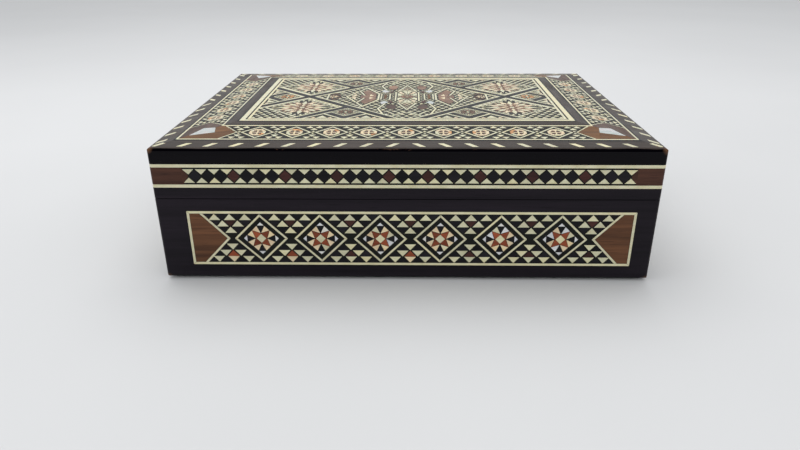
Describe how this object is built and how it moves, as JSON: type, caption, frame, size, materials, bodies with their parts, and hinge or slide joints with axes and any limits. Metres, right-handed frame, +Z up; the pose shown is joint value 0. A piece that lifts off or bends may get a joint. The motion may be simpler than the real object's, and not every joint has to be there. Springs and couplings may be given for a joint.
{
  "type": "inlaid wooden box",
  "caption": "Rectangular hinged wooden box with a bevelled lid, marquetry panels of stars and triangles, and a lined inside.",
  "frame": {"origin": "centre of the underside of the closed box", "axes": "+X to the right along the width with the front facing -Y, +Z up"},
  "size_m": [0.2014, 0.149, 0.0603],
  "materials": {
    "ebony": "near-black wood veneer, worn satin polish",
    "rosewood": "red-brown wood veneer, satin polish",
    "board": "plain brown wood",
    "bone": "pale yellow bone strips, polished flush",
    "triangle_mosaic": "small triangles of bone, black wood and red wood, polished flush",
    "star_mosaic": "star blocks of bone, red wood, orange wood and pearl, polished flush",
    "pearl": "mother-of-pearl, polished",
    "velvet": "short-pile velvet",
    "felt": "thin felt",
    "brass": "aged brass"
  },
  "bodies": {
    "base": {"back_panel_ends": "rosewood", "back_panel_field": "triangle_mosaic", "back_panel_stars": "star_mosaic", "back_panel_stringing": "bone", "back_wall": "ebony", "base_hinge_screws": "brass", "floor_board": "board", "floor_lining": "velvet", "front_panel_ends": "rosewood", "front_panel_field": "triangle_mosaic", "front_panel_stars": "star_mosaic", "front_panel_stringing": "bone", "front_wall": "ebony", "left_hinge_base_leaf": "brass", "left_hinge_pin": "brass", "left_panel_ends": "rosewood", "left_panel_field": "triangle_mosaic", "left_panel_stars": "star_mosaic", "left_panel_stringing": "bone", "left_wall": "ebony", "right_hinge_base_leaf": "brass", "right_hinge_pin": "brass", "right_panel_ends": "rosewood", "right_panel_field": "triangle_mosaic", "right_panel_stars": "star_mosaic", "right_panel_stringing": "bone", "right_wall": "ebony", "underside_felt": "felt", "wall_linings": "velvet"},
    "lid": {"back_rail": "ebony", "back_rail_ends": "rosewood", "back_rail_lines": "bone", "back_rail_mosaic": "triangle_mosaic", "front_rail": "ebony", "front_rail_ends": "rosewood", "front_rail_lines": "bone", "front_rail_mosaic": "triangle_mosaic", "left_hinge_lid_leaf": "brass", "left_rail": "ebony", "left_rail_ends": "rosewood", "left_rail_lines": "bone", "left_rail_mosaic": "triangle_mosaic", "lid_hinge_screws": "brass", "lid_lining": "velvet", "lid_side_linings": "velvet", "right_hinge_lid_leaf": "brass", "right_rail": "ebony", "right_rail_ends": "rosewood", "right_rail_lines": "bone", "right_rail_mosaic": "triangle_mosaic", "top_board": "ebony", "top_bone_frame": "bone", "top_bone_lines": "bone", "top_centre_panel": "star_mosaic", "top_corner_blocks": "rosewood", "top_dark_frame": "ebony", "top_pearl_leaves": "pearl", "top_rope_border": "ebony", "top_star_bands": "star_mosaic"}
  },
  "joints": [
    {"name": "lid_hinge", "type": "hinge", "parent": "base", "child": "lid", "pos_m": [0, 0.0715, 0.03625], "axis": [-1, 0, 0], "range_deg": [0, 100]}
  ]
}
